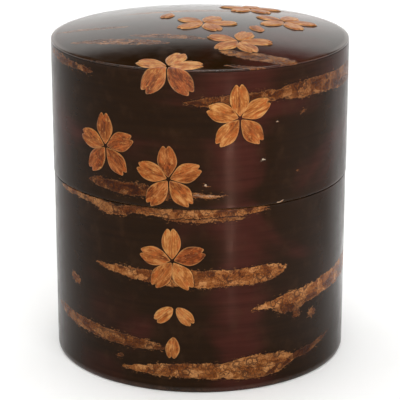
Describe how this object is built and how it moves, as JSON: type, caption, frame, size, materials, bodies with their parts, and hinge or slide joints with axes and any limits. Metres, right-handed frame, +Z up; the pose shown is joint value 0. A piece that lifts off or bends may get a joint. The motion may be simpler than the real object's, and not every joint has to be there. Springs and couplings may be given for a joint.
{
  "type": "tea caddy",
  "caption": "Straight-sided round tea caddy in polished cherry bark, with a domed lift-off lid over an inner sleeve, a knobbed inner lid and laid cherry-blossom petals.",
  "frame": {"origin": "centre of the foot, on the surface the caddy stands on", "axes": "+Z up along the caddy's axis, the blossoms' front facing -Y, +X to the right of the front"},
  "size_m": [0.082, 0.0824, 0.0937],
  "materials": {
    "dark_bark": "polished dark cherry bark, glossy, with tan corky streaks",
    "light_bark": "planed light cherry bark, satin, streaked along each petal",
    "veneer": "bare veneer, matte",
    "lining": "brown bark lining, satin",
    "turned_wood": "turned and polished cherry wood, satin"
  },
  "bodies": {
    "caddy_body": {"body_core": "veneer", "body_bark": "dark_bark", "base_board": "veneer", "base_bark": "dark_bark", "sleeve_core": "veneer", "sleeve_bark": "dark_bark", "sleeve_lining": "lining", "floor_lining": "lining", "body_blossom_petal_1": "light_bark", "body_blossom_petal_2": "light_bark", "body_blossom_petal_3": "light_bark", "body_blossom_petal_4": "light_bark", "body_blossom_petal_5": "light_bark", "body_loose_petal_left": "light_bark", "body_loose_petal_right": "light_bark", "body_loose_petal_low": "light_bark"},
    "lid": {"lid_core": "veneer", "lid_bark": "dark_bark", "lid_lining": "lining", "lid_board": "veneer", "lid_top_bark": "dark_bark", "lid_ceiling_lining": "lining", "lid_left_blossom_petal_1": "light_bark", "lid_left_blossom_petal_2": "light_bark", "lid_left_blossom_petal_3": "light_bark", "lid_left_blossom_petal_4": "light_bark", "lid_left_blossom_petal_5": "light_bark", "lid_seam_blossom_petal_1": "light_bark", "lid_seam_blossom_petal_2": "light_bark", "lid_seam_blossom_petal_3": "light_bark", "lid_seam_blossom_petal_4": "light_bark", "lid_seam_blossom_petal_5": "light_bark", "lid_right_blossom_petal_1": "light_bark", "lid_right_blossom_petal_2": "light_bark", "lid_right_blossom_petal_3": "light_bark", "lid_right_blossom_petal_4": "light_bark", "lid_right_blossom_petal_5": "light_bark", "rim_blossom_petal_1": "light_bark", "rim_blossom_petal_2": "light_bark", "rim_blossom_petal_3": "light_bark", "rim_blossom_petal_4": "light_bark", "rim_blossom_petal_5": "light_bark", "top_front_blossom_petal_1": "light_bark", "top_front_blossom_petal_2": "light_bark", "top_front_blossom_petal_3": "light_bark", "top_front_blossom_petal_4": "light_bark", "top_front_blossom_petal_5": "light_bark", "top_middle_blossom_petal_1": "light_bark", "top_middle_blossom_petal_2": "light_bark", "top_middle_blossom_petal_3": "light_bark", "top_middle_blossom_petal_4": "light_bark", "top_middle_blossom_petal_5": "light_bark", "top_right_blossom": "light_bark", "top_back_blossom": "light_bark", "top_loose_petal_left": "light_bark", "top_loose_petal_right": "light_bark"},
    "inner_lid": {"inner_lid_board": "turned_wood", "inner_lid_top_bark": "dark_bark", "inner_lid_under_bark": "dark_bark", "inner_lid_knob": "turned_wood"}
  },
  "joints": [
    {"name": "lid_lift", "type": "slide", "parent": "caddy_body", "child": "lid", "axis": [0, 0, 1], "range_m": [0, 0.06]},
    {"name": "inner_lid_lift", "type": "slide", "parent": "caddy_body", "child": "inner_lid", "axis": [0, 0, 1], "range_m": [0, 0.027]}
  ],
  "couplings": [
    {"joint": "inner_lid_lift", "follows": "lid_lift", "ratio": 0.45}
  ]
}
